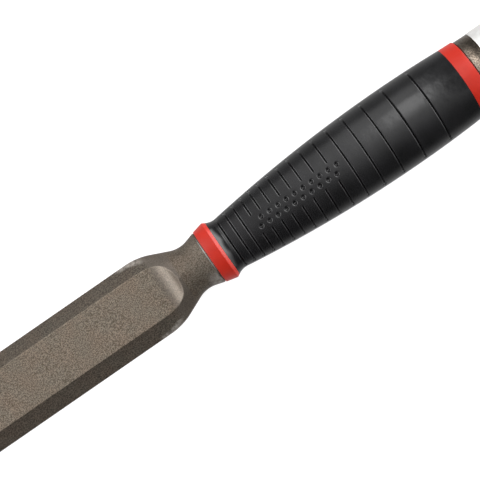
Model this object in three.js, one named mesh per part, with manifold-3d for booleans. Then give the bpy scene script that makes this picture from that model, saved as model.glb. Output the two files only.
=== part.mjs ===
// Heavy-duty bench chisel with a 35 mm blade and a tang that runs the whole length of the handle.
// The tool lies along X with its cutting edge at -X and its striking face at +X, and the bevelled
// side of the blade faces up, +Z. Stations along the tool are measured from the front face of the
// red collar, and heights from the tool's axis. The finished group is moved so that its origin is
// the middle of the underside of its bounding box.

import * as THREE from 'three';
import { mergeVertices } from 'three/addons/utils/BufferGeometryUtils.js';
import Module from 'manifold-3d';

const wasm = await Module();
wasm.setup();

// ---- Driving dimensions, in millimetres and degrees ----

const GAP = 0.3; // clearance between pieces that touch on the real tool
const AROUND = 40; // facets around every turned piece, a multiple of 4

// Blade: a forged and ground bar with two side bevels and a flat land between them
const BLADE_WIDTH = 35;
const EDGE_X = -139; // cutting edge
const LAND_HALF_WIDTH = 10.9;
const LAND_Z_AT_SHOULDER = 3.2;
const LAND_Z_AT_EDGE = 1.2;
const BACK_Z = -3; // flat back of the blade
const BEVEL_ANGLE = 27; // side bevels, from the horizontal
const CUTTING_ANGLE = 25;
const SCOOP_START_X = -25.5; // where the flat land starts to curve up into the shoulder
const SCOOP_RADIUS = 10.5;

// Shoulder, neck and bolster, seen from above
const SHOULDER_START_X = -31.5;
const SHOULDER_RADIUS = 28;
const SHOULDER_ANGLE = 23.75; // slope of the straight stretch between the two arcs
const NECK_HALF_WIDTH = 10.75;
const NECK_RADIUS = 12;
const FLARE_ANGLE = 16.2; // slope of the bolster's flare towards the handle
const BOLSTER_REAR_X = -GAP;
const BOLSTER_CHAMFER = 0.5;
const ROUND_FROM_X = -7; // behind this the neck is round
const FLAT_FROM_X = -26; // in front of this the section is the blade's own

// Tang: flat bar through the handle, with a round end for the striking head
const TANG_WIDTH = 13;
const TANG_HEIGHT = 10;
const TANG_CORNER = 1.5;
const TANG_END_RADIUS = 4.8;
const TANG_END_FROM_X = 126;
const TANG_END_X = 147;

// Handle core: hard plastic, showing as the front collar and the rear ring
const COLLAR_LENGTH = 6.6;
const COLLAR_FRONT_RADIUS = 12.6;
const COLLAR_MAX_RADIUS = 13.8;
const COLLAR_MAX_X = 5.2;
const COLLAR_REAR_RADIUS = 13;
const REAR_RING_X = 129;
const REAR_RING_LENGTH = 6.3;
const REAR_RING_RADIUS = 17.05;
const REAR_RING_END_RADIUS = 16.8;
const CORE_BOSS_RADIUS = 12.5; // boss inside the butt ferrule
const FERRULE_LENGTH = 6.4;

// Grip sleeve: soft rubber moulded over the core
const GRIP_MAX_RADIUS = 18;
const GRIP_MAX_X = 96;
const GRIP_FRONT_FALL = 0.00082; // how fast the radius falls in front of the swell, per mm squared
const GRIP_REAR_FALL = 0.00092; // and behind it
const GRIP_FLARE_END_X = 11.5; // the small flare up to the collar
const GRIP_FLARE_RISE = 1.56;
const GRIP_FLARE_POWER = 2.2;
const GRIP_WALL = 2.6;

// Grooves across the grip, above and below, growing further apart towards the butt
const GROOVE_COUNT = 16;
const FIRST_GROOVE_X = 11.1;
const GROOVE_PITCH = 4.03;
const GROOVE_PITCH_GAIN = 0.3;
const GROOVE_PITCH_RATE = 0.242;
const GROOVE_WIDTH = 1.7;
const GROOVE_DEPTH = 0.55;
const STRIP_FROM_X = 21; // smooth strip along the top, which interrupts the grooves it crosses
const STRIP_TO_X = 68;
const STRIP_HALF_WIDTH = 4.5;
const SIDE_BAND_ANGLE = 17; // half-angle of the smooth band along each side, where every groove ends

// Butt: coated steel ferrule and bare steel striking head
const FERRULE_RADIUS = 16.2;
const FERRULE_REAR_RADIUS = 16;
const HEAD_RADIUS = 16.25;
const HEAD_CHAMFER = 1.6;
const BUTT_X = 152; // striking face

// ---- Materials ----

const material = (color, roughness, metalness) =>
  new THREE.MeshStandardMaterial({ color, roughness, metalness });

const coatedSteel = material(0x776b60, 0.5, 0.6);
const redPlastic = material(0xbf392c, 0.35, 0);
const blackRubber = material(0x2c2c2d, 0.55, 0);
const bareSteel = material(0xd2d2cf, 0.3, 1);

// ---- Helpers ----

const radians = THREE.MathUtils.degToRad;
const lerp = THREE.MathUtils.lerp;

/** Solid made of a closed three.js geometry. */
function solid(geometry) {
  const bare = geometry.clone();
  bare.deleteAttribute('normal');
  bare.deleteAttribute('uv');
  const merged = mergeVertices(bare, 1e-4);
  const mesh = new wasm.Mesh({
    numProp: 3,
    vertProperties: new Float32Array(merged.attributes.position.array),
    triVerts: new Uint32Array(merged.index.array),
  });
  return new wasm.Manifold(mesh);
}

/** three.js geometry of a solid. */
function geometryOf(manifold) {
  const mesh = manifold.getMesh();
  const geometry = new THREE.BufferGeometry();
  geometry.setAttribute('position', new THREE.BufferAttribute(mesh.vertProperties, 3));
  geometry.setIndex(new THREE.BufferAttribute(mesh.triVerts, 1));
  geometry.computeVertexNormals();
  return geometry;
}

/** Piece turned about the tool's axis. The profile is a list of [station, radius]. */
function turned(profile) {
  const points = profile.map(([x, radius]) => new THREE.Vector2(radius, x));
  return new THREE.LatheGeometry(points, AROUND).rotateZ(-Math.PI / 2);
}

/** Bar along the axis with the cross-section of a shape drawn in Y and Z. */
function barAlongX(shape, fromX, toX) {
  const bar = new THREE.ExtrudeGeometry(shape, {
    depth: toX - fromX,
    bevelEnabled: false,
    curveSegments: 4,
  });
  const toAxes = new THREE.Matrix4().makeBasis(
    new THREE.Vector3(0, 1, 0),
    new THREE.Vector3(0, 0, 1),
    new THREE.Vector3(1, 0, 0),
  );
  return bar.applyMatrix4(toAxes).translate(fromX, 0, 0);
}

/** Block right across the tool, with a side view drawn in X and Z. */
function blockAcrossY(sideView, curveSegments) {
  const depth = 2 * BLADE_WIDTH;
  const block = new THREE.ExtrudeGeometry(sideView, { depth, bevelEnabled: false, curveSegments });
  return block.rotateX(Math.PI / 2).translate(0, depth / 2, 0);
}

/** Rectangle with rounded corners, centred on the origin. */
function roundedRectangle(width, height, corner) {
  const x = width / 2 - corner;
  const y = height / 2 - corner;
  const shape = new THREE.Shape();
  shape.absarc(x, y, corner, 0, Math.PI / 2);
  shape.absarc(-x, y, corner, Math.PI / 2, Math.PI);
  shape.absarc(-x, -y, corner, Math.PI, 1.5 * Math.PI);
  shape.absarc(x, -y, corner, 1.5 * Math.PI, 2 * Math.PI);
  return shape;
}

// ---- Blade ----

/** Half-width of the forging seen from above: blade, shoulder arc, neck arc and bolster flare. */
function halfWidthAt(x) {
  const slope = Math.tan(radians(SHOULDER_ANGLE));
  const shoulderEndX = SHOULDER_START_X + SHOULDER_RADIUS * Math.sin(radians(SHOULDER_ANGLE));
  const shoulderDrop = SHOULDER_RADIUS * (1 - Math.cos(radians(SHOULDER_ANGLE)));
  const shoulderEndWidth = BLADE_WIDTH / 2 - shoulderDrop;
  const neckStartWidth = NECK_HALF_WIDTH + NECK_RADIUS * (1 - Math.cos(radians(SHOULDER_ANGLE)));
  const neckStartX = shoulderEndX + (shoulderEndWidth - neckStartWidth) / slope;
  const neckX = neckStartX + NECK_RADIUS * Math.sin(radians(SHOULDER_ANGLE));
  const flareStartX = neckX + NECK_RADIUS * Math.sin(radians(FLARE_ANGLE));
  const flareStartWidth = NECK_HALF_WIDTH + NECK_RADIUS * (1 - Math.cos(radians(FLARE_ANGLE)));
  if (x < SHOULDER_START_X) return BLADE_WIDTH / 2;
  if (x < shoulderEndX) {
    return BLADE_WIDTH / 2 - SHOULDER_RADIUS + Math.sqrt(SHOULDER_RADIUS ** 2 - (x - SHOULDER_START_X) ** 2);
  }
  if (x < neckStartX) return shoulderEndWidth - (x - shoulderEndX) * slope;
  if (x < flareStartX) {
    return NECK_HALF_WIDTH + NECK_RADIUS - Math.sqrt(NECK_RADIUS ** 2 - (x - neckX) ** 2);
  }
  return flareStartWidth + (x - flareStartX) * Math.tan(radians(FLARE_ANGLE));
}

/** Height of the land, falling evenly from the shoulder to the cutting edge. */
function landHeightAt(x) {
  const along = (SCOOP_START_X - x) / (SCOOP_START_X - EDGE_X);
  return lerp(LAND_Z_AT_SHOULDER, LAND_Z_AT_EDGE, THREE.MathUtils.clamp(along, 0, 1));
}

/** How much of the section at a station is the blade's own (1) rather than the round neck's (0). */
function bladeShareAt(x) {
  return 1 - THREE.MathUtils.smoothstep(x, FLAT_FROM_X, ROUND_FROM_X);
}

// Half of the section has a flat back, a side wall and a bevel that is carried on to a ridge.
// These are its facets, and the angles that they take up on the round neck.
const BACK_FACETS = 5;
const WALL_FACETS = 3;
const BEVEL_FACETS = 10;
const WALL_FROM_ANGLE = -40;
const WALL_TO_ANGLE = 0;
const HALF_FACETS = BACK_FACETS + WALL_FACETS + BEVEL_FACETS;

/** Point number i of half a section, from the middle of the back (0) to the ridge, as [y, z]. */
function halfSectionPoint(i, x) {
  const width = BLADE_WIDTH / 2;
  const wallTop = landHeightAt(x) - (width - LAND_HALF_WIDTH) * Math.tan(radians(BEVEL_ANGLE));
  const ridge = wallTop + width * Math.tan(radians(BEVEL_ANGLE));
  let angle;
  let bladeY;
  let bladeZ;
  if (i <= BACK_FACETS) {
    const share = i / BACK_FACETS;
    angle = lerp(-90, WALL_FROM_ANGLE, share);
    bladeY = share;
    bladeZ = BACK_Z;
  } else if (i <= BACK_FACETS + WALL_FACETS) {
    const share = (i - BACK_FACETS) / WALL_FACETS;
    angle = lerp(WALL_FROM_ANGLE, WALL_TO_ANGLE, share);
    bladeY = 1;
    bladeZ = lerp(BACK_Z, wallTop, share);
  } else {
    const share = (i - BACK_FACETS - WALL_FACETS) / BEVEL_FACETS;
    angle = lerp(WALL_TO_ANGLE, 90, share);
    bladeY = 1 - share;
    bladeZ = lerp(wallTop, ridge, share);
  }
  const blade = bladeShareAt(x);
  const halfWidth = halfWidthAt(x);
  const neckHeight = x < ROUND_FROM_X ? NECK_HALF_WIDTH : halfWidth;
  const y = halfWidth * lerp(Math.cos(radians(angle)), bladeY, blade);
  const z = lerp(neckHeight * Math.sin(radians(angle)), bladeZ, blade);
  return [y, z];
}

/** Forging from the cutting edge to the bolster, before the land and the edge are ground. */
function forgedBody() {
  const stations = [EDGE_X, -100, -66, SHOULDER_START_X - 2];
  const shoulderSteps = 20;
  for (let i = 0; i <= shoulderSteps; i++) {
    stations.push(lerp(SHOULDER_START_X, ROUND_FROM_X, i / shoulderSteps));
  }
  stations.push(-5.6, -4.3, -2.4, BOLSTER_REAR_X - BOLSTER_CHAMFER, BOLSTER_REAR_X);
  const last = stations.length - 1;
  const profile = [new THREE.Vector2(0, stations[0])];
  stations.forEach((x) => profile.push(new THREE.Vector2(1, x)));
  profile.push(new THREE.Vector2(0, stations[last]));
  const around = 2 * HALF_FACETS;
  const body = new THREE.LatheGeometry(profile, around);
  const position = body.attributes.position;
  for (let v = 0; v < position.count; v++) {
    const x = position.getY(v);
    const i = Math.floor(v / profile.length) % around;
    const onAxis = v % profile.length === 0 || v % profile.length === profile.length - 1;
    const [y, z] = halfSectionPoint(i <= HALF_FACETS ? i : around - i, x);
    const chamfer = x === BOLSTER_REAR_X ? 1 - BOLSTER_CHAMFER / halfWidthAt(x) : 1;
    const side = i <= HALF_FACETS ? 1 : -1;
    position.setXYZ(v, x, onAxis ? 0 : side * y * chamfer, onAxis ? 0 : z * chamfer);
  }
  return solid(body);
}

/** Material ground away above the land, with the round scoop at its rear end. */
function landCutter() {
  const clear = 20;
  const side = new THREE.Shape();
  side.moveTo(EDGE_X - clear, clear);
  side.lineTo(EDGE_X - clear, landHeightAt(EDGE_X));
  side.lineTo(EDGE_X, landHeightAt(EDGE_X));
  side.lineTo(SCOOP_START_X, LAND_Z_AT_SHOULDER);
  side.absarc(SCOOP_START_X, LAND_Z_AT_SHOULDER + SCOOP_RADIUS, SCOOP_RADIUS, -Math.PI / 2, 0);
  side.lineTo(SCOOP_START_X + SCOOP_RADIUS, clear);
  side.closePath();
  return solid(blockAcrossY(side, 14));
}

/** Material ground away in front of the cutting bevel. */
function edgeCutter() {
  const clear = 20;
  const rise = 2 * clear * Math.tan(radians(CUTTING_ANGLE));
  const side = new THREE.Shape();
  side.moveTo(EDGE_X, BACK_Z);
  side.lineTo(EDGE_X + 2 * clear, BACK_Z + rise);
  side.lineTo(EDGE_X - clear, BACK_Z + rise);
  side.lineTo(EDGE_X - clear, BACK_Z);
  side.closePath();
  return solid(blockAcrossY(side, 1));
}

/** Tang: a flat bar inside the handle that ends in a round pin for the striking head. */
function tang() {
  const section = roundedRectangle(TANG_WIDTH, TANG_HEIGHT, TANG_CORNER);
  const bar = solid(barAlongX(section, BOLSTER_REAR_X - 2, TANG_END_FROM_X));
  const pin = solid(turned([
    [TANG_END_FROM_X - 5, 0],
    [TANG_END_FROM_X - 5, TANG_END_RADIUS],
    [TANG_END_X - 1, TANG_END_RADIUS],
    [TANG_END_X, TANG_END_RADIUS - 1],
    [TANG_END_X, 0],
  ]));
  return bar.add(pin);
}

function blade() {
  const ground = forgedBody().subtract(landCutter()).subtract(edgeCutter());
  return geometryOf(ground.add(tang()));
}

// ---- Handle ----

/** Outer radius of the grip, without its grooves. */
function gripRadiusAt(x) {
  const fromSwell = x - GRIP_MAX_X;
  const fall = fromSwell < 0 ? GRIP_FRONT_FALL : GRIP_REAR_FALL;
  const flareLength = GRIP_FLARE_END_X - COLLAR_LENGTH;
  const intoFlare = Math.max(0, (GRIP_FLARE_END_X - x) / flareLength);
  return GRIP_MAX_RADIUS - fall * fromSwell ** 2 + GRIP_FLARE_RISE * intoFlare ** GRIP_FLARE_POWER;
}

/** Radius of the core under the grip sleeve. */
function coreRadiusAt(x) {
  return gripRadiusAt(Math.max(x, GRIP_FLARE_END_X)) - GRIP_WALL;
}

/** Stations every few millimetres along the inside of the sleeve, from one end to the other. */
function innerStations(fromX, toX) {
  const steps = 10;
  return Array.from({ length: steps + 1 }, (_, i) => lerp(fromX, toX, i / steps));
}

/** Hard plastic core with its collar, rear ring and butt boss, and a slot for the tang. */
function handleCore() {
  const ringEndX = REAR_RING_X + REAR_RING_LENGTH;
  const bossEndX = ringEndX + FERRULE_LENGTH;
  const body = solid(turned([
    [0, 0],
    [0, COLLAR_FRONT_RADIUS],
    [COLLAR_MAX_X, COLLAR_MAX_RADIUS],
    [COLLAR_LENGTH, COLLAR_REAR_RADIUS],
    ...innerStations(COLLAR_LENGTH, REAR_RING_X).map((x) => [x, coreRadiusAt(x)]),
    [REAR_RING_X, REAR_RING_RADIUS],
    [ringEndX, REAR_RING_END_RADIUS],
    [ringEndX, CORE_BOSS_RADIUS],
    [bossEndX, CORE_BOSS_RADIUS],
    [bossEndX, 0],
  ]));
  const slotShape = roundedRectangle(TANG_WIDTH + 2 * GAP, TANG_HEIGHT + 2 * GAP, TANG_CORNER + GAP);
  const slot = solid(barAlongX(slotShape, -1, bossEndX + 1));
  return geometryOf(body.subtract(slot));
}

/** Stations of the grooves, each pitch a little longer than the one before. */
function grooveStations() {
  const stations = [FIRST_GROOVE_X];
  for (let i = 0; i < GROOVE_COUNT - 1; i++) {
    const pitch = GROOVE_PITCH + GROOVE_PITCH_GAIN * Math.exp(GROOVE_PITCH_RATE * i);
    stations.push(stations[i] + pitch);
  }
  return stations;
}

/** Whether a point at a groove's bottom lies on the smooth strip along the top or on a side band. */
function isUngrooved(x, y, z) {
  const onStrip = x > STRIP_FROM_X && x < STRIP_TO_X && z > 0 && Math.abs(y) < STRIP_HALF_WIDTH;
  const onSideBand = Math.abs(z) < Math.hypot(y, z) * Math.sin(radians(SIDE_BAND_ANGLE));
  return onStrip || onSideBand;
}

/** Soft sleeve over the core. Its grooves stop at the strip along the top and at the side bands. */
function gripSleeve() {
  const frontX = COLLAR_LENGTH + GAP;
  const rearX = REAR_RING_X - GAP;
  const stations = [frontX, 7.8, 8.8];
  const bottoms = grooveStations();
  bottoms.forEach((x) => stations.push(x - GROOVE_WIDTH / 2, x, x + GROOVE_WIDTH / 2));
  stations.push(GRIP_MAX_X, 103, 107, 117, 121, 125, rearX);
  stations.sort((a, b) => a - b);
  const profile = stations.map((x) => [x, gripRadiusAt(x)]);
  const bore = innerStations(rearX, frontX).map((x) => [x, coreRadiusAt(x) + GAP]);
  const loop = [...profile, ...bore, profile[0]];
  const sleeve = turned(loop);
  const position = sleeve.attributes.position;
  for (let v = 0; v < position.count; v++) {
    const station = stations[v % loop.length];
    if (!bottoms.includes(station)) continue;
    const y = position.getY(v);
    const z = position.getZ(v);
    const scale = isUngrooved(station, y, z) ? 1 : 1 - GROOVE_DEPTH / gripRadiusAt(station);
    position.setXYZ(v, station, y * scale, z * scale);
  }
  return geometryOf(solid(sleeve));
}

// ---- Butt ----

/** Coated steel ring round the core's boss, which keeps the handle from splitting. */
function buttFerrule() {
  const frontX = REAR_RING_X + REAR_RING_LENGTH + GAP;
  const rearX = frontX + FERRULE_LENGTH;
  const bore = CORE_BOSS_RADIUS + GAP;
  return turned([
    [frontX, bore],
    [frontX, FERRULE_RADIUS],
    [rearX, FERRULE_REAR_RADIUS],
    [rearX, bore],
    [frontX, bore],
  ]);
}

/** Bare steel head on the end of the tang, with a flat striking face. */
function strikingHead() {
  const frontX = REAR_RING_X + REAR_RING_LENGTH + FERRULE_LENGTH + 2 * GAP;
  const socket = TANG_END_RADIUS + GAP;
  return turned([
    [TANG_END_X + GAP, 0],
    [TANG_END_X + GAP, socket],
    [frontX, socket],
    [frontX, HEAD_RADIUS],
    [BUTT_X - HEAD_CHAMFER, HEAD_RADIUS],
    [BUTT_X, HEAD_RADIUS - HEAD_CHAMFER],
    [BUTT_X, 0],
  ]);
}

// ---- Assembly ----

function piece(name, geometry, pieceMaterial) {
  const mesh = new THREE.Mesh(geometry, pieceMaterial);
  mesh.name = name;
  return mesh;
}

const tool = new THREE.Group();
tool.add(piece('blade', blade(), coatedSteel));
tool.add(piece('handle_core', handleCore(), redPlastic));
tool.add(piece('grip_sleeve', gripSleeve(), blackRubber));
tool.add(piece('butt_ferrule', buttFerrule(), coatedSteel.clone()));
tool.add(piece('striking_head', strikingHead(), bareSteel));
tool.position.set(-(EDGE_X + BUTT_X) / 2, 0, GRIP_MAX_RADIUS);

const chisel = new THREE.Group();
chisel.add(tool);

export default chisel;
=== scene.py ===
"""Bench chisel: fine meshes, materials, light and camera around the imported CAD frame.

Shapes are worked out in millimetres in the tool's own terms: stations (x) run along the axis from
the front face of the red collar, towards the butt, and y and z are measured from the axis.
"""

import bmesh
import bpy
import numpy as np
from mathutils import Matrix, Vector


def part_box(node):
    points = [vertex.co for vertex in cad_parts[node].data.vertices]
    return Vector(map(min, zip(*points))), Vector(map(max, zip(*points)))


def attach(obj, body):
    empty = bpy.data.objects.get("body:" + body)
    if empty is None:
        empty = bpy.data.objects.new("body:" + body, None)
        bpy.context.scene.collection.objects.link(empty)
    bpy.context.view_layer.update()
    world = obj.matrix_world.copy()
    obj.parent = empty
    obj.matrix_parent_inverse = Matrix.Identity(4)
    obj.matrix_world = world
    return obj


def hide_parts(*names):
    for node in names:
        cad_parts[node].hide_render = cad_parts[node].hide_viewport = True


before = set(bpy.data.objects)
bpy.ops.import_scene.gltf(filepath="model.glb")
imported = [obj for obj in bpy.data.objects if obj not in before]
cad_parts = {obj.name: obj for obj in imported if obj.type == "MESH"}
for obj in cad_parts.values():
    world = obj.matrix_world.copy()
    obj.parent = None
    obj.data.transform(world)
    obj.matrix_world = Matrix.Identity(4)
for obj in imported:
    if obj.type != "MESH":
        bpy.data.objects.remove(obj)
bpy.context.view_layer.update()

MM = 0.001


def box_mm(node):
    """Lowest and highest corner of a CAD node, in millimetres."""
    low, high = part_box(node)
    return np.array(low) / MM, np.array(high) / MM


# ---- Sizes taken from the frame ----

BLADE_LOW, BLADE_HIGH = box_mm("blade")
CORE_LOW, CORE_HIGH = box_mm("handle_core")
GRIP_LOW, GRIP_HIGH = box_mm("grip_sleeve")
FERRULE_LOW, FERRULE_HIGH = box_mm("butt_ferrule")
HEAD_LOW, HEAD_HIGH = box_mm("striking_head")

COLLAR_X = CORE_LOW[0]  # row-frame X of the collar's front face
AXIS_Z = (HEAD_LOW[2] + HEAD_HIGH[2]) / 2
EDGE = BLADE_LOW[0] - COLLAR_X
TANG_END = BLADE_HIGH[0] - COLLAR_X
HALF_BLADE = (BLADE_HIGH[1] - BLADE_LOW[1]) / 2
GRIP_FRONT = GRIP_LOW[0] - COLLAR_X
GRIP_REAR = GRIP_HIGH[0] - COLLAR_X
GRIP_RADIUS = GRIP_HIGH[2] - AXIS_Z
CORE_END = CORE_HIGH[0] - COLLAR_X
FERRULE_FRONT = FERRULE_LOW[0] - COLLAR_X
FERRULE_REAR = FERRULE_HIGH[0] - COLLAR_X
FERRULE_RADIUS = FERRULE_HIGH[2] - AXIS_Z
HEAD_FRONT = HEAD_LOW[0] - COLLAR_X
HEAD_REAR = HEAD_HIGH[0] - COLLAR_X
HEAD_RADIUS = HEAD_HIGH[2] - AXIS_Z

# ---- Sizes that the frame's boxes don't give, in millimetres ----

# Blade
LAND_HALF_WIDTH = 10.9
LAND_OFFSET = 0.6  # the land was ground a little to the +Y side
LAND_AT_SHOULDER = 3.2
LAND_AT_EDGE = 1.2
BACK = -3.0
EDGE_THICKNESS = 0.05
BEVEL_SLOPE = np.tan(np.radians(27))
CUTTING_SLOPE = np.tan(np.radians(25))
LAPPED_LENGTH = 26  # bare stretch of the back, from the cutting edge
TOP_ROUND, BACK_ROUND = 0.25, 0.2  # rounding of the blade's upper and lower corners
FORGED_TOP_ROUND, FORGED_BACK_ROUND = 2.3, 0.9  # what the forged shoulder adds to them
FORGED_FROM, FORGED_TO = -36, -27  # where that sets in
SCOOP_START = -25.5
SCOOP_RADIUS = 10.5

# Shoulder, neck and bolster
SHOULDER_START = -31.5
SHOULDER_RADIUS = 28
SHOULDER_ANGLE = np.radians(23.75)
NECK_HALF_WIDTH = 10.75
NECK_RADIUS = 12
FLARE_ANGLE = np.radians(16.2)
FLAT_TO = -26  # up to here the forging has the blade's flat section
ROUND_FROM = -7  # and from here it is round
BOLSTER_END = -0.7  # last full section before the chamfer
BOLSTER_CHAMFER = ((-0.35, 0.16), (-0.12, 0.36), (-0.03, 0.6), (-0.02, 1.1))  # (station, how far in)
BARE_CHAMFER_ABOVE = 7  # height from which the chamfer shows bare steel

# Tang
TANG_HALF_WIDTH, TANG_HALF_HEIGHT = 6.5, 5
TANG_ROOT_FILLET = 0.3
TANG_ROUND_FROM = 126
TANG_ROUND_RADIUS = 4.8
TANG_END_CHAMFER = 0.8

# Core: collar, the rear ring and the boss that carries the ferrule
COLLAR_MAX_AT = 5.2
COLLAR_FRONT_RADIUS = 12.6
COLLAR_RADIUS = 13.8
COLLAR_REAR = 6.6
COLLAR_REAR_RADIUS = 13.0
RING_FRONT = 128.5
RING_REAR = 135.3
RING_FRONT_RADIUS, RING_REAR_RADIUS = 17.0, 16.75
BOSS_RADIUS = 12.5
CORE_BORE = 8.2
GAP = GRIP_FRONT - COLLAR_REAR  # clearance that the CAD pieces keep

# Grip
SWELL_AT = 96
FALL_TO_COLLAR, FALL_TO_BUTT = 0.00082, 0.00092  # radius lost per squared distance from the swell
GRIP_FLARE_TO = 11.5  # the grip flares out between the collar and here
GRIP_FLARE = 1.56
GRIP_FLARE_POWER = 2.2
GRIP_WALL = 2.3
CORE_BELOW_GRIP = 2.6  # from the grip's surface to the core's, so they stay 0.3 apart
GRIP_SEAM = 0.02  # what is left of the gap at each end of the grip
GRIP_EDGE_FALL = 0.35  # how much lower the grip's front edge is, against the collar

# Grooves in the grip
GROOVES = 16
FIRST_GROOVE = 11.1
PITCH, PITCH_GAIN, PITCH_RATE = 4.03, 0.3, 0.242
GROOVE_DEPTH = 0.8
GROOVE_FRONT_WALL = 0.75  # length of the groove's sloping front wall along the axis
GROOVE_REAR_WALL = 0.4
PIT_RADIUS = 0.95  # round pit that ends a groove at the side bands
PIT_DEPTH = 1.3
PIT_FORWARD = 0.1  # how far the pit's middle lies in front of the groove's
STRIP_FROM, STRIP_TO, STRIP_HALF_WIDTH = 21, 68, 4.6
STRIP_SOFTNESS = 0.4  # a groove runs out over this distance on both sides of the strip's edge
SIDE_BAND_ANGLE = np.radians(18)  # half-angle of the smooth band along each side of the grip

# Plain round dimples, in two rows along the smooth strip
DIMPLES = 10  # in each row
FIRST_DIMPLE = 25.4
DIMPLE_PITCH = 4.2
DIMPLE_ROW_OFFSET = 1.75  # from the strip's middle line to a row
DIMPLE_RADIUS = 1.2
DIMPLE_DEPTH = 0.9
HOLE_WALL = 0.7  # share of a pit's or a dimple's radius that its sloping wall takes

# Butt
FERRULE_BORE = 12.8
FERRULE_SEAM = 0.05  # what is left of the gap behind the ferrule
FERRULE_TAPER = 0.2
SOCKET_RADIUS = 5.1
SOCKET_CLEARANCE = 0.3
HEAD_CHAMFER = 1.6


# ---- Mesh helpers ----

SHARP_ANGLE = np.radians(60)  # edges that turn more than this are shaded sharp
BLADE_SHARP_ANGLE = np.radians(50)
ARC_STEPS = 5
EVEN = np.linspace(0, 2 * np.pi, 160, endpoint=False)  # angles round a turned piece


def smoothstep(x, low, high):
    t = np.clip((x - low) / (high - low), 0, 1)
    return t * t * (3 - 2 * t)


def soft_min(a, b, width):
    """Smaller of two heights, with the crease between them rounded over a small width."""
    h = np.clip(0.5 + 0.5 * (b - a) / width, 0, 1)
    return b * (1 - h) + a * h - width * h * (1 - h)


def steps(*stretches):
    """Stations along one line: each stretch is (from, to, spacing), and stretches join up."""
    stations = []
    for low, high, spacing in stretches:
        count = max(1, round(abs(high - low) / spacing))
        stations.extend(np.linspace(low, high, count + 1))
    return np.array(sorted(set(np.round(stations, 5))))


def loft_faces(count, around, closed):
    """Faces between rings of points. Unless the last ring joins the first, both ends are filled."""
    last = count if closed else count - 1
    i, j = np.meshgrid(np.arange(last), np.arange(around), indexing="ij")
    here = i * around
    ahead = ((i + 1) % count) * around
    side = (j + 1) % around
    faces = np.stack([here + j, here + side, ahead + side, ahead + j], -1).reshape(-1, 4).tolist()
    if not closed:
        faces.append(list(range(around))[::-1])
        faces.append(list(range((count - 1) * around, count * around)))
    return faces


def loft(name, rings, closed=False):
    """Mesh object through rings of equally many points, with its faces turned outwards."""
    rings = np.array(rings, float)
    points = (rings.reshape(-1, 3) + [COLLAR_X, 0, AXIS_Z]) * MM
    mesh = bpy.data.meshes.new(name)
    mesh.from_pydata(points.tolist(), [], loft_faces(*rings.shape[:2], closed))
    tidy = bmesh.new()
    tidy.from_mesh(mesh)
    bmesh.ops.remove_doubles(tidy, verts=tidy.verts, dist=1e-7)
    bmesh.ops.recalc_face_normals(tidy, faces=tidy.faces)
    if tidy.calc_volume(signed=True) < 0:
        bmesh.ops.reverse_faces(tidy, faces=tidy.faces)
    tidy.to_mesh(mesh)
    tidy.free()
    mesh.shade_smooth()
    piece = bpy.data.objects.new(name, mesh)
    bpy.context.scene.collection.objects.link(piece)
    return piece


def fillet_arc(before, corner, after, fillet):
    """Points of the arc that rounds a corner of a profile."""
    to_before = (before - corner) / np.linalg.norm(before - corner)
    to_after = (after - corner) / np.linalg.norm(after - corner)
    half_turn = np.arccos(np.clip(to_before @ to_after, -1, 1)) / 2
    reach = fillet / np.tan(half_turn)
    start = corner + to_before * reach
    end = corner + to_after * reach
    inwards = (to_before + to_after) / np.linalg.norm(to_before + to_after)
    middle = corner + inwards * fillet / np.sin(half_turn)
    first = np.arctan2(*(start - middle)[::-1])
    last = np.arctan2(*(end - middle)[::-1])
    turn = (last - first + np.pi) % (2 * np.pi) - np.pi
    angles = first + turn * np.linspace(0, 1, ARC_STEPS + 1)
    return middle + fillet * np.stack([np.cos(angles), np.sin(angles)], -1)


def rounded_profile(corners):
    """Profile through corners given as (x, radius, fillet), with an arc in place of each filleted one."""
    points = []
    for k, (x, r, fillet) in enumerate(corners):
        corner = np.array([x, r], float)
        if fillet:
            before = np.array(corners[k - 1][:2], float)
            after = np.array(corners[(k + 1) % len(corners)][:2], float)
            points.extend(fillet_arc(before, corner, after, fillet))
        else:
            points.append(corner)
    return points


def ring(x, radius, angles):
    """Round section at a station. Angle 0 is the top, +Z, and angles turn towards +Y."""
    radius = np.broadcast_to(radius, angles.shape)
    along = np.full(angles.shape, float(x))
    return np.stack([along, radius * np.sin(angles), radius * np.cos(angles)], -1)


def turned(name, corners, closed=True):
    """Piece turned about the axis, from a profile of (x, radius, fillet)."""
    return loft(name, [ring(x, r, EVEN) for x, r in rounded_profile(corners)], closed)


def finish_piece(piece, node, slot, *materials):
    """Gives a piece its materials and ties it to the frame in place of a CAD node."""
    for material in materials:
        piece.data.materials.append(material)
    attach(piece, "root")
    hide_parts(node)
    return piece


# ---- Blade ----


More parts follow.
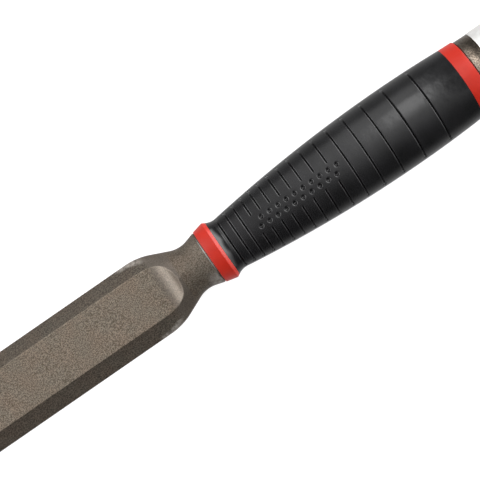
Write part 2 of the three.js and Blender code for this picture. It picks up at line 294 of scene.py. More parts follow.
def half_width(x):
    """Half-width of the forging seen from above: blade, shoulder arc, neck arc and bolster flare."""
    shoulder_end = SHOULDER_START + SHOULDER_RADIUS * np.sin(SHOULDER_ANGLE)
    shoulder_end_width = HALF_BLADE - SHOULDER_RADIUS * (1 - np.cos(SHOULDER_ANGLE))
    neck_start_width = NECK_HALF_WIDTH + NECK_RADIUS * (1 - np.cos(SHOULDER_ANGLE))
    neck_start = shoulder_end + (shoulder_end_width - neck_start_width) / np.tan(SHOULDER_ANGLE)
    neck = neck_start + NECK_RADIUS * np.sin(SHOULDER_ANGLE)
    flare_start = neck + NECK_RADIUS * np.sin(FLARE_ANGLE)
    flare_start_width = NECK_HALF_WIDTH + NECK_RADIUS * (1 - np.cos(FLARE_ANGLE))
    if x < SHOULDER_START:
        return HALF_BLADE
    if x < shoulder_end:
        return HALF_BLADE - SHOULDER_RADIUS + np.sqrt(SHOULDER_RADIUS**2 - (x - SHOULDER_START) ** 2)
    if x < neck_start:
        return shoulder_end_width - (x - shoulder_end) * np.tan(SHOULDER_ANGLE)
    if x < flare_start:
        return NECK_HALF_WIDTH + NECK_RADIUS - np.sqrt(NECK_RADIUS**2 - (x - neck) ** 2)
    return flare_start_width + (x - flare_start) * np.tan(FLARE_ANGLE)


def land_height(x):
    share = np.clip((SCOOP_START - x) / (SCOOP_START - EDGE), 0, 1)
    return LAND_AT_SHOULDER + (LAND_AT_EDGE - LAND_AT_SHOULDER) * share


def land_cut_height(x):
    """Height of the ground land at a station, curving up out of the metal behind the scoop."""
    into = x - SCOOP_START
    if into <= 0:
        return land_height(x)
    if into < SCOOP_RADIUS:
        return LAND_AT_SHOULDER + SCOOP_RADIUS - np.sqrt(SCOOP_RADIUS**2 - into**2)
    return 2 * GRIP_RADIUS


# Points in each stretch of the blade's half-section, from the middle of the back to the ridge
BACK_POINTS = 14
BACK_CORNER_POINTS = 5
WALL_POINTS = 4
TOP_CORNER_POINTS = 8
BEVEL_POINTS = 76
BEVEL_SHARES = np.linspace(0, 1, BEVEL_POINTS + 1)[1:]
NECK_ANGLES = (-90, -42, -30, -14, 10, 90)  # where each of these stretches ends up on the neck's circle


def blade_half_section(x, width):
    """Half of the blade's section as y and z: flat back, side wall, and a bevel carried on to a ridge."""
    wall_top = land_height(x) - (HALF_BLADE - LAND_HALF_WIDTH) * BEVEL_SLOPE
    ridge = wall_top + HALF_BLADE * BEVEL_SLOPE
    forged = smoothstep(x, FORGED_FROM, FORGED_TO)
    top_round = TOP_ROUND + FORGED_TOP_ROUND * forged
    back_round = BACK_ROUND + FORGED_BACK_ROUND * forged

    bevel_angle = np.arctan2(ridge - wall_top, width)
    corner_turn = np.pi / 2 - bevel_angle
    reach = top_round * np.tan(corner_turn / 2)
    back_y = np.linspace(0, width - back_round, BACK_POINTS, endpoint=False)
    back_z = np.full(BACK_POINTS, BACK)
    turn = np.linspace(-np.pi / 2, 0, BACK_CORNER_POINTS)
    back_corner_y = width - back_round + back_round * np.cos(turn)
    back_corner_z = BACK + back_round + back_round * np.sin(turn)
    wall_z = np.linspace(BACK + back_round, wall_top - reach, WALL_POINTS + 2)[1:-1]
    wall_y = np.full(WALL_POINTS, width)
    turn = np.linspace(0, corner_turn, TOP_CORNER_POINTS)
    top_corner_y = width - top_round + top_round * np.cos(turn)
    top_corner_z = wall_top - reach + top_round * np.sin(turn)
    bevel_y = top_corner_y[-1] * (1 - BEVEL_SHARES)
    bevel_z = top_corner_z[-1] + (ridge - top_corner_z[-1]) * BEVEL_SHARES
    y = np.concatenate([back_y, back_corner_y, wall_y, top_corner_y, bevel_y])
    z = np.concatenate([back_z, back_corner_z, wall_z, top_corner_z, bevel_z])
    return y, z


def neck_angles():
    """Angles round the neck's circle at which the points of the blade's half-section arrive."""
    back, back_corner, wall, top_corner, bevel, ridge = NECK_ANGLES
    return np.radians(np.concatenate([
        np.linspace(back, back_corner, BACK_POINTS, endpoint=False),
        np.linspace(back_corner, wall, BACK_CORNER_POINTS),
        np.linspace(wall, top_corner, WALL_POINTS + 2)[1:-1],
        np.linspace(top_corner, bevel, TOP_CORNER_POINTS),
        bevel + (ridge - bevel) * BEVEL_SHARES,
    ]))


def half_section(x):
    """Half of the forging's section at a station, from the middle of the back to the ridge.

    Towards the neck the blade's corners grow rounder and the section turns into a circle.
    """
    width = half_width(x)
    blade_y, blade_z = blade_half_section(x, width)
    angles = neck_angles()
    blade = 1 - smoothstep(x, FLAT_TO, ROUND_FROM)
    neck_height = NECK_HALF_WIDTH if x < ROUND_FROM else width
    y = (1 - blade) * np.cos(angles) + blade * blade_y / width
    z = (1 - blade) * neck_height * np.sin(angles) + blade * blade_z
    return y / y.max() * width, z


def mirrored(y, z):
    """Both halves of a section, from one that starts and ends on the middle line."""
    return np.concatenate([y, -y[-2:0:-1]]), np.concatenate([z, z[-2:0:-1]])


LAND_CREASE = 0.14  # width over which the land's edges are rounded
EDGE_CREASE = 0.1  # and those of the cutting bevel
OFFSET_FROM, OFFSET_FULL = 6, 9  # how far out the shift of the side bevels sets in
OFFSET_FADES_FROM = 12  # it is gone at the blade's sides
CLEAR_OF_BACK = 0.3  # points higher than this above the back are ground


def blade_ring(x):
    """Whole section at a station, ground to the land and to the cutting bevel."""
    y, z = mirrored(*half_section(x))
    upper = z > BACK + CLEAR_OF_BACK
    out = np.abs(y)
    share = smoothstep(out, OFFSET_FROM, OFFSET_FULL) * smoothstep(-out, -HALF_BLADE, -OFFSET_FADES_FROM)
    shifted = z + LAND_OFFSET * BEVEL_SLOPE * share * np.sign(y)
    z = np.where(upper, soft_min(shifted, land_cut_height(x), LAND_CREASE), z)
    edge_cut = BACK + EDGE_THICKNESS + (x - EDGE) * CUTTING_SLOPE
    z = np.where(upper, soft_min(z, edge_cut, EDGE_CREASE), np.minimum(z, edge_cut))
    return np.stack([np.full(len(y), float(x)), y, z], -1)


def bolster_rings(full):
    """Rings round the bolster's chamfered rear edge, from its last full section."""
    rings = []
    full_width = half_width(BOLSTER_END)
    for x, inwards in BOLSTER_CHAMFER:
        section = full[:, 1:] * (1 - inwards / full_width) * half_width(x) / full_width
        rings.append(np.column_stack([np.full(len(full), x), section]))
    return rings


RECTANGLE, CIRCLE = 10, 2  # powers of a superellipse: a rounded rectangle, and a circle


def tang_ring(x, half_wide, half_high, power):
    """Section of the tang, a superellipse with as many points as the blade's section."""
    y, z = mirrored(*half_section(ROUND_FROM + 0.01))
    angles = np.arctan2(z, y)
    wide = np.abs(np.cos(angles) / half_wide) ** power
    high = np.abs(np.sin(angles) / half_high) ** power
    radius = (wide + high) ** (-1 / power)
    return np.stack([np.full(len(angles), float(x)), radius * np.cos(angles), radius * np.sin(angles)], -1)


def tang_rings():
    """Rings of the tang: a fillet at its root, flat sides, and a round end with a chamfer."""
    wide, high, fillet = TANG_HALF_WIDTH, TANG_HALF_HEIGHT, TANG_ROOT_FILLET
    end = TANG_ROUND_RADIUS
    tip = TANG_ROUND_RADIUS - TANG_END_CHAMFER
    return [
        tang_ring(-fillet, wide + fillet, high + fillet, RECTANGLE),
        tang_ring(fillet, wide, high, RECTANGLE),
        tang_ring(TANG_ROUND_FROM - 0.5, wide, high, RECTANGLE),
        tang_ring(TANG_ROUND_FROM, end, end, CIRCLE),
        tang_ring(TANG_END - TANG_END_CHAMFER, end, end, CIRCLE),
        tang_ring(TANG_END, tip, tip, CIRCLE),
    ]


LAND_TOLERANCE = 0.06  # a face this little below the ground land is part of it
HEEL_ROUND = 0.4  # how far the rounded heel of the cutting bevel reaches behind it
BEVEL_COSINE, BACK_COSINE = 0.998, 0.99  # how closely a face has to face the way the surface does


def is_on_land(face):
    """Whether a face of the blade belongs to the ground land or to the scoop behind it."""
    x = face.center.x / MM - COLLAR_X
    z = face.center.z / MM - AXIS_Z
    return x < SCOOP_START + SCOOP_RADIUS and z > 0 and z > land_cut_height(x) - LAND_TOLERANCE


def is_bare(face):
    """Whether it is on the cutting bevel, the lapped back or the upper part of the bolster's chamfer."""
    x = face.center.x / MM - COLLAR_X
    z = face.center.z / MM - AXIS_Z
    bevel_length = (LAND_AT_EDGE - BACK) / CUTTING_SLOPE
    bevel_facing = np.array([-CUTTING_SLOPE, 0, 1]) / np.hypot(CUTTING_SLOPE, 1)
    on_bevel = x < EDGE + bevel_length + HEEL_ROUND and face.normal @ Vector(bevel_facing) > BEVEL_COSINE
    on_back = x < EDGE + LAPPED_LENGTH and face.normal.z < -BACK_COSINE
    on_chamfer = BOLSTER_END < x < BOLSTER_CHAMFER[0][0] and z > BARE_CHAMFER_ABOVE
    return on_bevel or on_back or on_chamfer


def make_blade(forged_coating, ground_coating, ground_steel):
    stations = steps(
        (EDGE, EDGE + 2, 0.25),
        (EDGE + 2, EDGE + 10, 0.3),
        (EDGE + 10, FORGED_FROM - 4, 3),
        (FORGED_FROM - 4, FORGED_FROM, 0.5),
        (FORGED_FROM, ROUND_FROM, 0.22),
        (ROUND_FROM, BOLSTER_END, 0.4),
    )
    rings = [blade_ring(x) for x in stations]
    rings += bolster_rings(rings[-1])
    rings += tang_rings()
    piece = loft("chisel_blade", rings)
    finish_piece(piece, "blade", "coated_steel", forged_coating, ground_coating, ground_steel)
    for face in piece.data.polygons:
        if is_bare(face):
            face.material_index = 2
        elif is_on_land(face):
            face.material_index = 1
    piece.data.set_sharp_from_angle(angle=BLADE_SHARP_ANGLE)
    return piece


# ---- Handle ----


def grip_radius(x):
    """Outer radius of the grip without its grooves: it falls from the swell, and flares at the collar."""
    from_swell = np.asarray(x, float) - SWELL_AT
    fall = np.where(from_swell < 0, FALL_TO_COLLAR, FALL_TO_BUTT)
    into_flare = np.clip((GRIP_FLARE_TO - np.asarray(x, float)) / (GRIP_FLARE_TO - COLLAR_REAR), 0, None)
    return GRIP_RADIUS - fall * from_swell**2 + GRIP_FLARE * into_flare**GRIP_FLARE_POWER


def groove_stations():
    """Stations of the grooves, each pitch a little longer than the one before."""
    stations = [FIRST_GROOVE]
    for i in range(GROOVES - 1):
        stations.append(stations[i] + PITCH + PITCH_GAIN * np.exp(PITCH_RATE * i))
    return stations


GROOVE_REACH = 1.2  # a groove and its pits have no effect further away along the axis


def groove_depth(x, angles):
    """Depth of the grooves at a station, for each angle round the grip. A round pit ends each groove."""
    depth = np.zeros(angles.shape)
    up = np.abs(np.cos(angles))
    band_edge = np.sin(SIDE_BAND_ANGLE)
    outside_bands = smoothstep(up, band_edge - 0.01, band_edge + 0.02)
    radius = grip_radius(x)
    pit_centre = band_edge + PIT_RADIUS / radius
    soft = STRIP_SOFTNESS
    for at in groove_stations():
        off = x - at
        if abs(off) > GROOVE_REACH:
            continue
        wall = GROOVE_FRONT_WALL if off < 0 else GROOVE_REAR_WALL
        groove = GROOVE_DEPTH * smoothstep(1 - abs(off) / wall, 0, 1)
        if STRIP_FROM < at < STRIP_TO:
            across = np.abs(radius * np.sin(angles))
            past_strip = smoothstep(across, STRIP_HALF_WIDTH - soft, STRIP_HALF_WIDTH + soft)
            groove = groove * np.where(np.cos(angles) > 0, past_strip, 1)
        from_pit = np.hypot(off + PIT_FORWARD, (np.arccos(up) - np.arccos(pit_centre)) * radius)
        pit = PIT_DEPTH * smoothstep(1 - from_pit / PIT_RADIUS, 0, HOLE_WALL)
        depth = np.maximum(depth, np.maximum(groove * outside_bands, pit))
    return depth


def dimple_depth(x, angles):
    """Depth of the dimples in the smooth strip at a station. The two rows are half a pitch apart."""
    across = grip_radius(x) * np.sin(angles)
    depth = np.zeros(angles.shape)
    for side, shift in ((-1, 0), (1, 0.5)):
        nearest = np.clip(np.round((x - FIRST_DIMPLE) / DIMPLE_PITCH - shift), 0, DIMPLES - 1) + shift
        along = x - FIRST_DIMPLE - nearest * DIMPLE_PITCH
        off = np.hypot(along, across - side * DIMPLE_ROW_OFFSET)
        dimple = DIMPLE_DEPTH * smoothstep(1 - off / DIMPLE_RADIUS, 0, HOLE_WALL)
        depth = np.maximum(depth, dimple)
    return depth * (np.cos(angles) > 0)


def grip_angles():
    """Angles round the grip: close together over the strip and where the grooves end."""
    over_strip = np.arange(-36, 36, 1)
    side = np.concatenate([
        np.arange(36, 62, 2),
        np.arange(62, 80, 1),
        np.arange(80, 100, 2),
        np.arange(100, 118, 1),
        np.arange(118, 180, 2),
    ])
    return np.radians(np.concatenate([over_strip, side, (360 - side)[::-1]]))


BEFORE_GROOVE, AFTER_GROOVE = 0.9, 0.8  # stretch round each groove where stations lie close
GROOVE_SPACING, STRIP_SPACING, FLARE_SPACING, PLAIN_SPACING = 0.14, 0.3, 0.35, 1.0
FLARE_STATIONS_TO = 10  # end of the stretch with the flare's spacing
REAR_MARGIN = 0.6  # the last station lies this far from the rear edge
RIM = 0.5  # height of the ring of faces round the rear edge
BORE_RINGS = 9  # rings between the grip and the core


def grip_stations(front, rear):
    """Stations along the grip, close together at each groove and over the dimples."""
    last = FLARE_STATIONS_TO
    stretches = [(front, last, FLARE_SPACING)]
    for at in groove_stations():
        if at - BEFORE_GROOVE > last:
            spacing = STRIP_SPACING if STRIP_FROM - 1 < last < STRIP_TO else PLAIN_SPACING
            stretches.append((last, at - BEFORE_GROOVE, spacing))
        stretches.append((at - BEFORE_GROOVE, at + AFTER_GROOVE, GROOVE_SPACING))
        last = at + AFTER_GROOVE
    stretches.append((last, rear - REAR_MARGIN, PLAIN_SPACING))
    return steps(*stretches)


def make_grip(rubber):
    front = COLLAR_REAR + GRIP_SEAM
    rear = RING_FRONT - GRIP_SEAM
    angles = grip_angles()
    rings = [ring(front, grip_radius(COLLAR_REAR) - GRIP_EDGE_FALL, angles)]
    for x in grip_stations(front, rear):
        radius = grip_radius(x) - groove_depth(x, angles) - dimple_depth(x, angles)
        rings.append(ring(x, radius, angles))
    rings.append(ring(rear, grip_radius(rear), angles))
    rings.append(ring(rear, grip_radius(rear) - RIM, angles))
    for x in np.linspace(rear, front, BORE_RINGS):
        rings.append(ring(x, grip_radius(max(x, GRIP_FLARE_TO)) - GRIP_WALL, angles))
    piece = loft("rubber_grip", rings, closed=True)
    finish_piece(piece, "grip_sleeve", "black_rubber", rubber)
    piece.data.set_sharp_from_angle(angle=SHARP_ANGLE)
    return piece


def make_core(plastic):
    under_grip = []
    for x in np.linspace(COLLAR_REAR, RING_FRONT, BORE_RINGS):
        under_grip.append((x, float(grip_radius(max(x, GRIP_FLARE_TO))) - CORE_BELOW_GRIP, 0))
    corners = [
        (0, CORE_BORE, 0),
        (0, COLLAR_FRONT_RADIUS, 0.45),
        (COLLAR_MAX_AT, COLLAR_RADIUS, 0.35),
        (COLLAR_REAR, COLLAR_REAR_RADIUS, 0.2),
        (COLLAR_REAR, under_grip[0][1] + 0.01, 0),
        *under_grip[1:-1],
        (RING_FRONT, under_grip[-1][1], 0),
        (RING_FRONT, RING_FRONT_RADIUS, 0.05),
        (RING_REAR, RING_REAR_RADIUS, 0.2),
        (RING_REAR, BOSS_RADIUS, 0),
        (CORE_END, BOSS_RADIUS, 0.3),
        (CORE_END, CORE_BORE, 0),
    ]
    piece = turned("red_core", corners)
    finish_piece(piece, "handle_core", "red_plastic", plastic)
    piece.data.set_sharp_from_angle(angle=SHARP_ANGLE)
    return piece


# ---- Butt ----


def make_ferrule(coating):
    rear = FERRULE_REAR + GAP - FERRULE_SEAM
    corners = [
        (FERRULE_FRONT, FERRULE_BORE, 0),
        (FERRULE_FRONT, FERRULE_RADIUS, 0.35),
        (rear, FERRULE_RADIUS - FERRULE_TAPER, 0.12),
        (rear, FERRULE_BORE, 0),
    ]
    piece = turned("coated_ferrule", corners)
    finish_piece(piece, "butt_ferrule", "coated_steel", coating)
    piece.data.set_sharp_from_angle(angle=SHARP_ANGLE)
    return piece


def make_head(steel):
    corners = [
        (TANG_END + SOCKET_CLEARANCE, 0, 0),
        (TANG_END + SOCKET_CLEARANCE, SOCKET_RADIUS, 0),
        (HEAD_FRONT, SOCKET_RADIUS, 0),
        (HEAD_FRONT, HEAD_RADIUS, 0.25),
        (HEAD_REAR - HEAD_CHAMFER, HEAD_RADIUS, 0.8),
        (HEAD_REAR, HEAD_RADIUS - HEAD_CHAMFER, 0.4),
        (HEAD_REAR, 0, 0),
    ]
    piece = turned("bright_head", corners, closed=False)
    finish_piece(piece, "striking_head", "bare_steel", steel)
    piece.data.set_sharp_from_angle(angle=SHARP_ANGLE)
    return piece


# ---- Node trees ----


class Tree:
    """Short ways to write a node tree."""

    def __init__(self, tree):
        self.tree = tree

    def put(self, socket, value):
        """Links a socket to a value's socket, or sets it to a plain value."""
        if isinstance(value, bpy.types.NodeSocket):
            self.tree.links.new(value, socket)
        else:
            socket.default_value = value

    def node(self, kind, inputs=(), **settings):
        """New node with its inputs put in and its settings set."""
        made = self.tree.nodes.new(kind)
        for key, value in settings.items():
            setattr(made, key, value)
        for key, value in dict(inputs).items():
            self.put(made.inputs[key], value)
        return made

    def math(self, operation, a, b=0.0):
        return self.node("ShaderNodeMath", {0: a, 1: b}, operation=operation).outputs[0]

    def times(self, a, b):
        return self.math("MULTIPLY", a, b)

    def spread(self, value, low, high, to_low=0.0, to_high=1.0):
        """Smooth change from one value to another while the input goes from low to high."""
        inputs = {"Value": value, "From Min": low, "From Max": high, "To Min": to_low, "To Max": to_high}
        return self.node("ShaderNodeMapRange", inputs, interpolation_type="SMOOTHSTEP").outputs[0]


class Material(Tree):
    """Node tree of a material. Textures are laid out in millimetres of the row frame."""

    def __init__(self, name):
        self.material = bpy.data.materials.new(name)
        self.material.use_nodes = True
        super().__init__(self.material.node_tree)
        coordinates = self.node("ShaderNodeTexCoord").outputs["Object"]
        scale = {0: coordinates, "Scale": 1 / MM}
        self.place = self.node("ShaderNodeVectorMath", scale, operation="SCALE").outputs[0]

    def stretched(self, x, y, z):
        """Texture place with each direction multiplied, so a small number draws a texture out."""
        inputs = {0: self.place, 1: (x, y, z)}
        return self.node("ShaderNodeVectorMath", inputs, operation="MULTIPLY").outputs[0]

    def noise(self, scale, detail=2.0, roughness=0.5, place=None):
        inputs = {"Vector": place or self.place, "Scale": scale, "Detail": detail, "Roughness": roughness}
        return self.node("ShaderNodeTexNoise", inputs).outputs["Fac"]

    def along(self, start, end, at_start=0.0, at_end=1.0):
        """Smooth change between two stations of the tool."""
        x = self.node("ShaderNodeSeparateXYZ", {0: self.place}).outputs["X"]
        return self.spread(x, COLLAR_X + start, COLLAR_X + end, at_start, at_end)

    def mix(self, share, a, b):
        made = self.node("ShaderNodeMix", data_type="RGBA")
        self.put(made.inputs["Factor"], share)
        for socket, colour in ((made.inputs[6], a), (made.inputs[7], b)):
            self.put(socket, colour if isinstance(colour, bpy.types.NodeSocket) else (*colour, 1))
        return made.outputs[2]

    def bump(self, height, strength, distance_mm, under=None):
        inputs = {"Height": height, "Strength": strength, "Distance": distance_mm * MM}
        if under is not None:
            inputs["Normal"] = under
        return self.node("ShaderNodeBump", inputs).outputs[0]

    def surface(self, **inputs):
        """Sets the shader's sockets, named with _ for a space, and gives back the material."""
        shader = self.tree.nodes["Principled BSDF"]
        for key, value in inputs.items():
            socket = shader.inputs[key.replace("_", " ")]
            self.put(socket, (*value, 1) if isinstance(value, tuple) else value)
        return self.material


# ---- Materials ----

COATING_DARK = np.array((0.12, 0.093, 0.066))
COATING_LIGHT = np.array((0.4, 0.328, 0.254))
WARMER = np.array((1.05, 1.0, 0.98))
COOLER = np.array((0.98, 1.01, 1.02))
# painted highlight and rubbed wear: light silver on the shoulder's corners and the bolster's -Y side,
# partly wear and partly the reflection their rounded sides catch
RUBBED_AND_HIGHLIGHT_SILVER = (0.3, 0.275, 0.25)
FORGED_BLADE_SHADE_SHARE = 0.62  # painted shade: how bright the forged coating is painted along the blade, whose bevels face away from the light, against the neck
FORGED_BLADE_SHADE_ENDS = (-30, -13)  # stations over which that painted shade lifts to the neck's brightness
WORN_AND_LIT_SHOULDER = (-38, -33, -29, -22)  # wear and painted highlight set in over the first two stations, and end over the others
WORN_AND_LIT_CORNER = (1.9, 0.5)  # it sets in over these distances from the blade's sides
SHOULDER_SLANT = 0.33  # and follows the shoulder inwards by this slope
WORN_AND_LIT_BOLSTER = (-7, -3)
WORN_AND_LIT_BOLSTER_SIDE = (-4.5, -9)
SCOOP_HIGHLIGHT_TINT = (1.08, 1.14, 1.28)  # painted highlight: the scoop's cooler, greyer colour, against the coating's middle one, stands in for the white light its ramp reflects
SCOOP_HIGHLIGHT_TINT_SHARE = 0.5
SCOOP_ENDS = (-15, -14)  # stations over which the scoop's look ends
SCOOP_GRAIN_SHARE = 0.45  # how high the scoop's grain is, against the land's


def wear_and_painted_highlight(n):
    """Share of silvery coating along the shoulder's corners and on the bolster's -Y side: partly rubbed
    wear, partly painted highlight for the light their rounded sides reflect.
    """
    x, y, _ = n.node("ShaderNodeSeparateXYZ", {0: n.place}).outputs
    past_shoulder = n.math("MAXIMUM", n.math("SUBTRACT", x, COLLAR_X + SHOULDER_START), 0.0)
    out = n.math("ADD", n.math("ABSOLUTE", y), n.times(past_shoulder, SHOULDER_SLANT))
    corner = n.spread(out, HALF_BLADE - WORN_AND_LIT_CORNER[0], HALF_BLADE - WORN_AND_LIT_CORNER[1])
    corner = n.times(corner, n.along(*WORN_AND_LIT_SHOULDER[:2]))
    corner = n.times(corner, n.along(*WORN_AND_LIT_SHOULDER[2:], 1, 0))
    bolster = n.times(n.along(*WORN_AND_LIT_BOLSTER), n.spread(y, *WORN_AND_LIT_BOLSTER_SIDE))
    patchy = n.spread(n.noise(0.7, 3, 0.6), 0.35, 0.6, 0.25, 0.75)
    return n.times(n.math("MAXIMUM", corner, bolster), patchy)


def forged_look(n, colour):
    """Coating colour with painted shade along the blade, whose bevels face away from the light, and with
    silvery places that are partly rubbed wear and partly painted highlight.
    """
    # painted shade: the coating is darker along the blade, where its bevels face away from the light
    share = n.along(*FORGED_BLADE_SHADE_ENDS, FORGED_BLADE_SHADE_SHARE, 1)
    colour = n.node("ShaderNodeVectorMath", {0: colour, "Scale": share}, operation="SCALE").outputs[0]
    # painted highlight and rubbed wear: silver mixed in at the shoulder's corners and the bolster
    return n.mix(wear_and_painted_highlight(n), colour, RUBBED_AND_HIGHLIGHT_SILVER)


def in_scoop(n):
    """1 on the scoop's ramp and 0 away from it."""
    return n.times(n.along(SCOOP_START, SCOOP_START + 3), n.along(*SCOOP_ENDS, 1, 0))


def greyed(colour, grey):
    """A colour with that share of its difference from grey taken away."""
    return colour + (colour.mean() - colour) * grey


def coating(name, tone, roughness, metallic, grain_height, forged=False, grey=0.0):
    """Brown-grey metallic coating with a fine, slightly lumpy grain, smoother in the scoop and painted
    cooler and greyer there as a highlight.

    Forged, it is painted darker along the blade as shade, where its bevels face away from the light, and
    silvery at its corners, partly rubbed wear and partly painted highlight. Grey takes away that share of
    its brown.
    """
    n = Material(name)
    grain = n.noise(2.0, 3, 0.65)
    fine = n.noise(5.5, 2, 0.5)
    cloud = n.spread(n.noise(0.12, 3, 0.6), 0.3, 0.7)
    low = greyed(COATING_DARK * tone, grey)
    high = greyed(COATING_LIGHT * tone, grey)
    dark = n.mix(cloud, low * WARMER, low * COOLER)
    light = n.mix(cloud, high * WARMER, high * COOLER)
    colour = n.mix(n.spread(grain, 0.36, 0.64), dark, light)
    if forged:
        colour = forged_look(n, colour)
    scoop = in_scoop(n)
    # painted highlight: the scoop is tinted cooler and greyer, standing in for the white light its ramp
    # reflects
    colour = n.mix(n.times(scoop, SCOOP_HIGHLIGHT_TINT_SHARE), colour, (low + high) / 2 * SCOOP_HIGHLIGHT_TINT)
    rough = n.spread(fine, 0.3, 0.7, roughness - 0.06, roughness + 0.08)
    strength = n.spread(scoop, 0, 1, grain_height, grain_height * SCOOP_GRAIN_SHARE)
    lumps = n.bump(grain, strength, 0.16)
    normal = n.bump(fine, strength, 0.04, lumps)
    return n.surface(Base_Color=colour, Metallic=metallic, Roughness=rough, Normal=normal)


def ground_steel():
    """Bare steel with fine grinding lines across the blade."""
    n = Material("ground_steel")
    lines = n.noise(3.0, 3, 0.6, n.stretched(2.5, 0.06, 2.5))
    fine = n.noise(9.0, 2, 0.5, n.stretched(2.5, 0.05, 2.5))
    cloud = n.noise(0.2, 2)
    colour = n.mix(n.spread(cloud, 0.3, 0.7), (0.16, 0.157, 0.151), (0.21, 0.207, 0.2))
    roughness = n.spread(lines, 0.3, 0.7, 0.26, 0.42)
    normal = n.bump(fine, 0.2, 0.01, n.bump(lines, 0.25, 0.02))
    return n.surface(Base_Color=colour, Metallic=1.0, Roughness=roughness, Normal=normal)


def black_rubber():
    """Moulded soft rubber with a fine spark-eroded texture and faint handling marks."""
    n = Material("black_rubber")
    texture = n.noise(3.2, 2, 0.55)
    cloud = n.noise(0.09, 3, 0.55)
    colour = n.mix(n.spread(cloud, 0.3, 0.7), (0.0065, 0.0065, 0.0068), (0.0095, 0.0095, 0.01))
    wear = n.spread(cloud, 0.25, 0.75, 0.08, 0.14)
    roughness = n.math("ADD", wear, n.spread(texture, 0.3, 0.7, -0.02, 0.03))
    normal = n.bump(texture, 0.3, 0.02, n.bump(cloud, 0.5, 0.25))
    return n.surface(Base_Color=colour, Roughness=roughness, Normal=normal, IOR=1.4)


def red_plastic():
    """Hard moulded plastic, semi-gloss, with slight colour flow and a faint surface waviness."""
    n = Material("red_plastic")
    flow = n.noise(0.25, 3, 0.6)
    fine = n.noise(5.0, 2, 0.5)
    colour = n.mix(n.spread(flow, 0.3, 0.7), (0.28, 0.011, 0.0045), (0.31, 0.0125, 0.005))
    roughness = n.spread(fine, 0.3, 0.7, 0.3, 0.4)
    normal = n.bump(fine, 0.12, 0.01, n.bump(flow, 0.1, 0.08))
    return n.surface(Base_Color=colour, Roughness=roughness, Normal=normal, IOR=1.35)


def turned_steel():
    """Bare steel with fine turning rings and a little wear."""
    n = Material("turned_steel")
    rings = n.noise(4.0, 2, 0.5, n.stretched(3.0, 0.03, 0.03))
    dents = n.noise(0.35, 3, 0.6)
    colour = n.mix(n.spread(dents, 0.35, 0.7), (0.7, 0.69, 0.675), (0.78, 0.775, 0.765))
    roughness = n.spread(rings, 0.3, 0.7, 0.42, 0.55)
    normal = n.bump(dents, 0.12, 0.08, n.bump(rings, 0.25, 0.015))
    return n.surface(Base_Color=colour, Metallic=0.8, Roughness=roughness, Normal=normal)


# ---- Table ----

TABLE_HALF_SIZE = 4.0  # metres
TABLE_CLEARANCE = 0.1  # millimetres, under the collar
TABLE_ALBEDO = 0.3
TABLE_GLOW = 0.78
PAST_GRIP_FLARE = 19  # the table meets the grip somewhere behind this station


def make_table():
    """Pale table that the tool lies on, by its collar and its grip: it tilts to meet both."""
    stations = np.linspace(GRIP_FRONT, GRIP_REAR, 200)
    stations = stations[stations > PAST_GRIP_FLARE]
    fall = ((grip_radius(stations) - COLLAR_RADIUS) / (stations - COLLAR_MAX_AT)).max()
    below_axis = COLLAR_RADIUS + TABLE_CLEARANCE
    under_collar = Vector((COLLAR_X + COLLAR_MAX_AT, 0, AXIS_Z - below_axis)) * MM
    half = TABLE_HALF_SIZE
    corners = [(-half, -half), (half, -half), (half, half), (-half, half)]
    points = [under_collar + Vector((x, y, -x * fall)) for x, y in corners]
    mesh = bpy.data.meshes.new("table")
    mesh.from_pydata(points, [], [(0, 1, 2, 3)])
    table = bpy.data.objects.new("table", mesh)
    bpy.context.scene.collection.objects.link(table)
    n = Material("table_white")
    pale = (TABLE_ALBEDO,) * 3
    white = (1.0, 1.0, 1.0)
    mesh.materials.append(
        n.surface(Base_Color=pale, Roughness=0.8, Emission_Color=white, Emission_Strength=TABLE_GLOW)
    )
    table.visible_glossy = False


# ---- Light ----

# The world is brighter or darker by the direction it is seen in, whose x, y and z run from -1 to 1.
SKY_LIGHT = 2.4  # broad light from above and from the +Y side
SKY_TOWARDS = (0, 0.6, 0.8)
SKY_REACH = -0.35  # cosine at which it ends
SKY_POWER = 2.2  # how fast it falls off on the way there
SKY_HORIZON = (-0.1, 0.35)  # z over which it rises from the share left below the horizon
SKY_BELOW_HORIZON = 0.35
SKY_EDGE_SIDE = (-0.25, 0.14)  # x over which it rises from the share left towards the cutting edge
SKY_TOWARDS_EDGE = 0.36
SKY_BUTT_SIDE = (0.21, 0.235)  # x over which it falls to the share left towards the butt
SKY_TOWARDS_BUTT = 0.08
SKY_SLANT = 0.04  # how much y counts towards that x
UNDER_LIGHT = 0.5  # what comes back from the table, as glossy surfaces see it
UNDER_HEIGHT = (-0.8, -0.05)  # z over which it fades

# A window is given as: from, to, and the soft stretch beyond each of them.
STRIP_LIGHT = 3.1  # strip softbox across the tool, nearly overhead
STRIP_ALONG = (0.13, 0.165, 0.07, 0.04)  # window in x
STRIP_ACROSS = (0.5, 0.8, 0.6, 0.6)  # window in y / z
NEAR_BUTT_LIGHT = 7.5  # low light beyond the butt
NEAR_BUTT_HEADING = (0.36, 0.76)  # heading over which it sets in
NEAR_BUTT_HEIGHT = (-0.18, 0.62, 0.16, 0.3)  # window in z
NEAR_BUTT_SIDE = (-0.7, -0.05, 0.3, 1)  # two values of y, and the share of it that each one gets
NEAR_EDGE_LIGHT = 5.4  # low light beyond the cutting edge
NEAR_EDGE_HEADING = (-0.35, -0.85)
NEAR_EDGE_HEIGHT = (-0.25, 0.3, 0.2, 0.55)
NEAR_EDGE_SIDE = (-0.6, -0.15, 0.15, 1)
NOT_ZERO = 0.02  # keeps a division away from zero


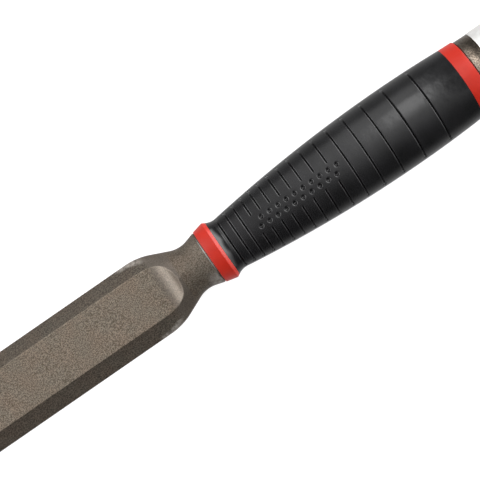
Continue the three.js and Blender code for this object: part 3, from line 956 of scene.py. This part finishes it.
class Studio(Tree):
    """Node tree of the world. Each light is a socket with its brightness for the direction seen."""

    def __init__(self, world):
        super().__init__(world.node_tree)
        self.tree.nodes.clear()
        self.way = self.node("ShaderNodeTexCoord").outputs["Generated"]
        self.x, self.y, self.z = self.node("ShaderNodeSeparateXYZ", {0: self.way}).outputs
        squares = self.math("ADD", self.times(self.x, self.x), self.times(self.y, self.y))
        level = self.math("MAXIMUM", self.math("SQRT", squares), NOT_ZERO)
        self.heading = self.math("DIVIDE", self.x, level)  # 1 towards the butt, -1 towards the edge

    def window(self, value, low, high, soft_low, soft_high):
        """1 between two limits, fading to 0 over a soft stretch beyond each of them."""
        rise = self.spread(value, low - soft_low, low, 0, 1)
        return self.times(rise, self.spread(value, high, high + soft_high, 1, 0))

    def sky(self):
        """Broad light from above and +Y, cut down towards both ends, and what the table sends up."""
        inputs = {0: self.way, 1: SKY_TOWARDS}
        towards = self.node("ShaderNodeVectorMath", inputs, operation="DOT_PRODUCT").outputs["Value"]
        facing = self.node("ShaderNodeMapRange", {"Value": towards, "From Min": SKY_REACH}).outputs[0]
        sky = self.math("POWER", facing, SKY_POWER)
        above = self.spread(self.z, *SKY_HORIZON, SKY_BELOW_HORIZON * SKY_LIGHT, SKY_LIGHT)
        sky = self.times(sky, above)
        edge_side = self.spread(self.x, *SKY_EDGE_SIDE, SKY_TOWARDS_EDGE, 1)
        slanted = self.math("ADD", self.x, self.times(self.y, SKY_SLANT))
        butt_side = self.spread(slanted, *SKY_BUTT_SIDE, 1, SKY_TOWARDS_BUTT)
        sky = self.times(sky, self.times(edge_side, butt_side))
        return self.math("ADD", sky, self.spread(self.z, *UNDER_HEIGHT, UNDER_LIGHT, 0))

    def strip(self):
        """Strip softbox that runs across the tool, over its +Y side."""
        across = self.math("DIVIDE", self.y, self.math("MAXIMUM", self.z, NOT_ZERO))
        shape = self.times(self.window(self.x, *STRIP_ALONG), self.window(across, *STRIP_ACROSS))
        return self.times(shape, STRIP_LIGHT)

    def low_light(self, brightness, heading, height, side):
        """Low light beyond one end of the tool, weaker on the -Y side."""
        light = self.spread(self.heading, *heading, 0, brightness)
        light = self.times(light, self.window(self.z, *height))
        return self.times(light, self.spread(self.y, *side))


def studio_light():
    """Soft studio light: sky, strip softbox and two low lights at the tool's ends."""
    world = bpy.data.worlds.new("studio")
    bpy.context.scene.world = world
    world.use_nodes = True
    n = Studio(world)
    above = n.math("ADD", n.sky(), n.strip())
    near_butt = n.low_light(NEAR_BUTT_LIGHT, NEAR_BUTT_HEADING, NEAR_BUTT_HEIGHT, NEAR_BUTT_SIDE)
    near_edge = n.low_light(NEAR_EDGE_LIGHT, NEAR_EDGE_HEADING, NEAR_EDGE_HEIGHT, NEAR_EDGE_SIDE)
    light = n.math("ADD", above, n.math("ADD", near_butt, near_edge))
    background = n.node("ShaderNodeBackground", {"Color": (1, 1, 1, 1), "Strength": light})
    n.node("ShaderNodeOutputWorld", {"Surface": background.outputs[0]})


# ---- Camera ----

CAMERA_AT, CAMERA_ASIDE = 14.7, -1.35  # station and y of the picture's middle, in millimetres
CAMERA_HEIGHT = 0.8  # metres above the axis
CAMERA_TURN = np.radians(34.64)
SEEN_WIDTH = 0.20302  # metres across the picture, at the axis's height
SENSOR_WIDTH = 36


def camera_above():
    """Camera straight above the tool, turned so that the butt points up and to the right."""
    data = bpy.data.cameras.new("camera")
    data.sensor_width = SENSOR_WIDTH
    data.lens = SENSOR_WIDTH * CAMERA_HEIGHT / SEEN_WIDTH
    data.clip_start = 0.01
    data.clip_end = 20
    camera = bpy.data.objects.new("camera", data)
    bpy.context.scene.collection.objects.link(camera)
    camera.location = ((COLLAR_X + CAMERA_AT) * MM, CAMERA_ASIDE * MM, AXIS_Z * MM + CAMERA_HEIGHT)
    camera.rotation_euler = (0, 0, -CAMERA_TURN)
    bpy.context.scene.camera = camera


# ---- Scene ----

make_blade(
    coating("forged_coating", 0.31, 0.5, 0.6, 0.7, forged=True),
    coating("ground_coating", 0.46, 0.4, 0.6, 0.7),
    ground_steel(),
)
make_core(red_plastic())
make_grip(black_rubber())
make_ferrule(coating("smooth_coating", 0.56, 0.13, 0.9, 0.07, grey=0.2))
make_head(turned_steel())
make_table()
studio_light()
camera_above()
bpy.context.scene.view_settings.view_transform = "Standard"
